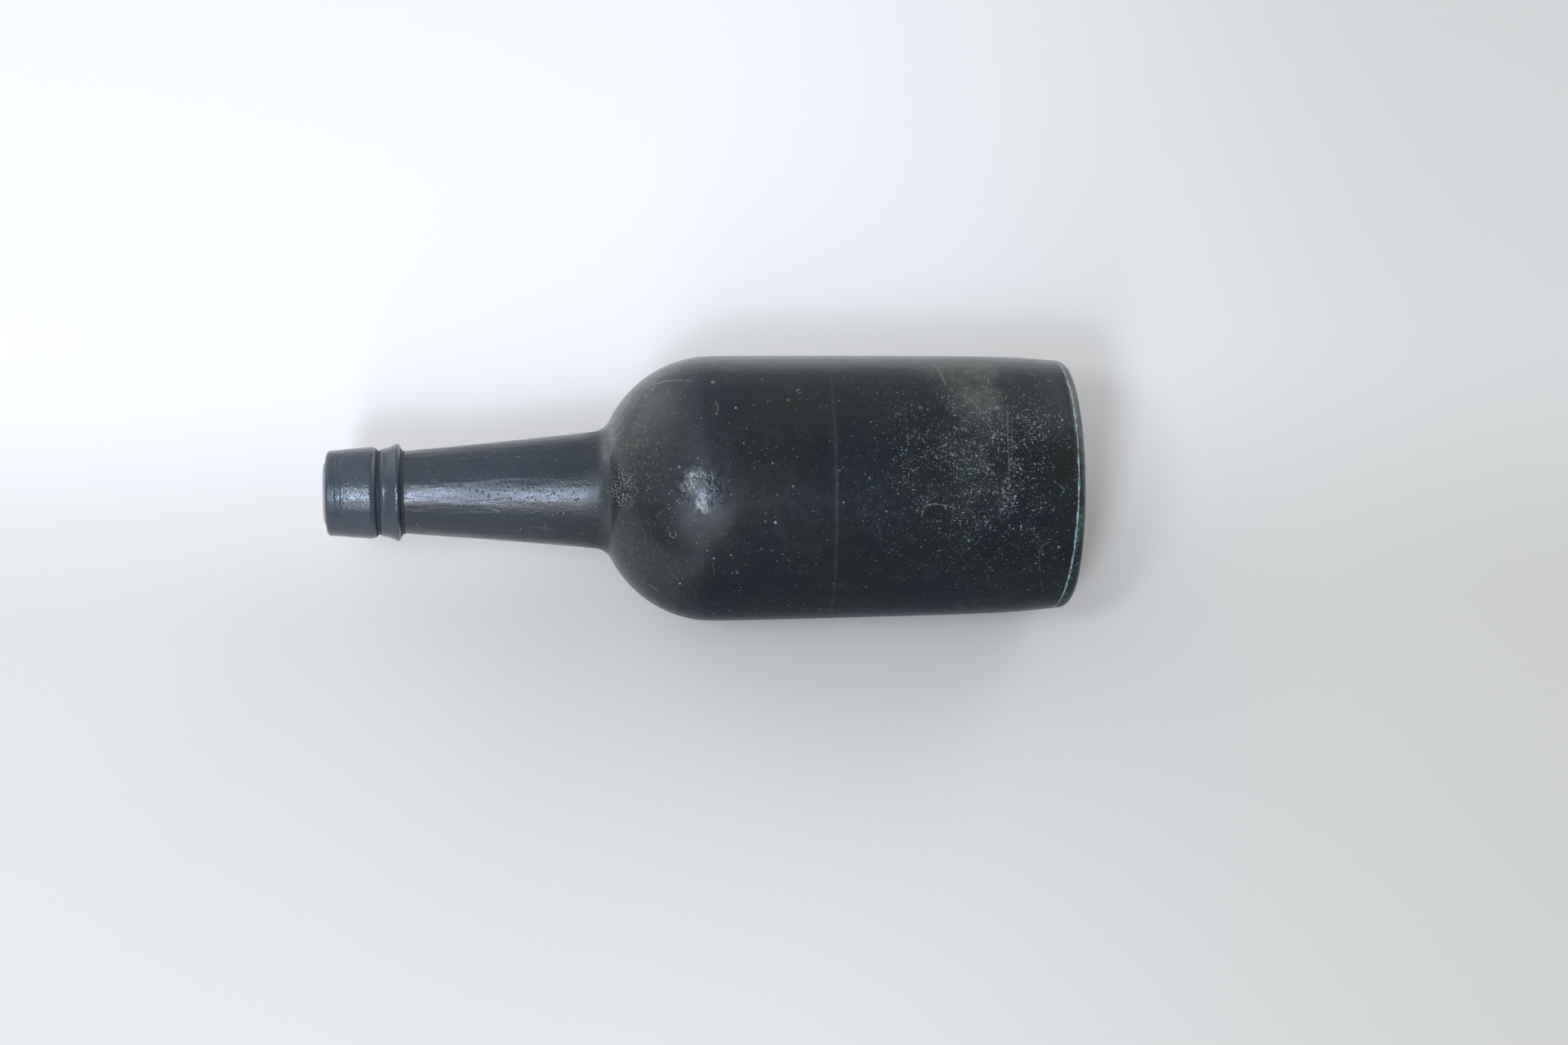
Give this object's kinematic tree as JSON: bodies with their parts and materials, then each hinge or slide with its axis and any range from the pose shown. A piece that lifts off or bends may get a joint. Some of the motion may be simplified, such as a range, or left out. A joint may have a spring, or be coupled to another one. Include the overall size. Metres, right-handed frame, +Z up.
{
  "type": "bottle",
  "caption": "Dark glass bottle with a domed shoulder, a tapering neck, a laid-on lip and string rim, a push-up base, and a cork that draws out of the bore.",
  "frame": {"origin": "middle of the ring that the bottle stands on, on the bottle's axis", "axes": "+Z up the bottle's axis and out of the mouth; -Y is the side that faced up in the picture, turned 25 degrees from its camera; +X was up in the picture"},
  "size_m": [0.072, 0.072, 0.2017],
  "materials": {
    "dark_glass": "very dark olive glass, weathered matt, with fine pale specks",
    "finish_glass": "very dark glass, satin, with fine tooling lines round the lip",
    "old_cork": "dry old cork, pale tan and grey"
  },
  "bodies": {
    "bottle": {"vessel": "dark_glass", "lip_collar": "finish_glass", "string_rim": "finish_glass"},
    "stopper": {"cork": "old_cork"}
  },
  "joints": [
    {"name": "cork_draw", "type": "slide", "parent": "bottle", "child": "stopper", "axis": [0, 0, 1], "range_m": [0, 0.03]}
  ]
}
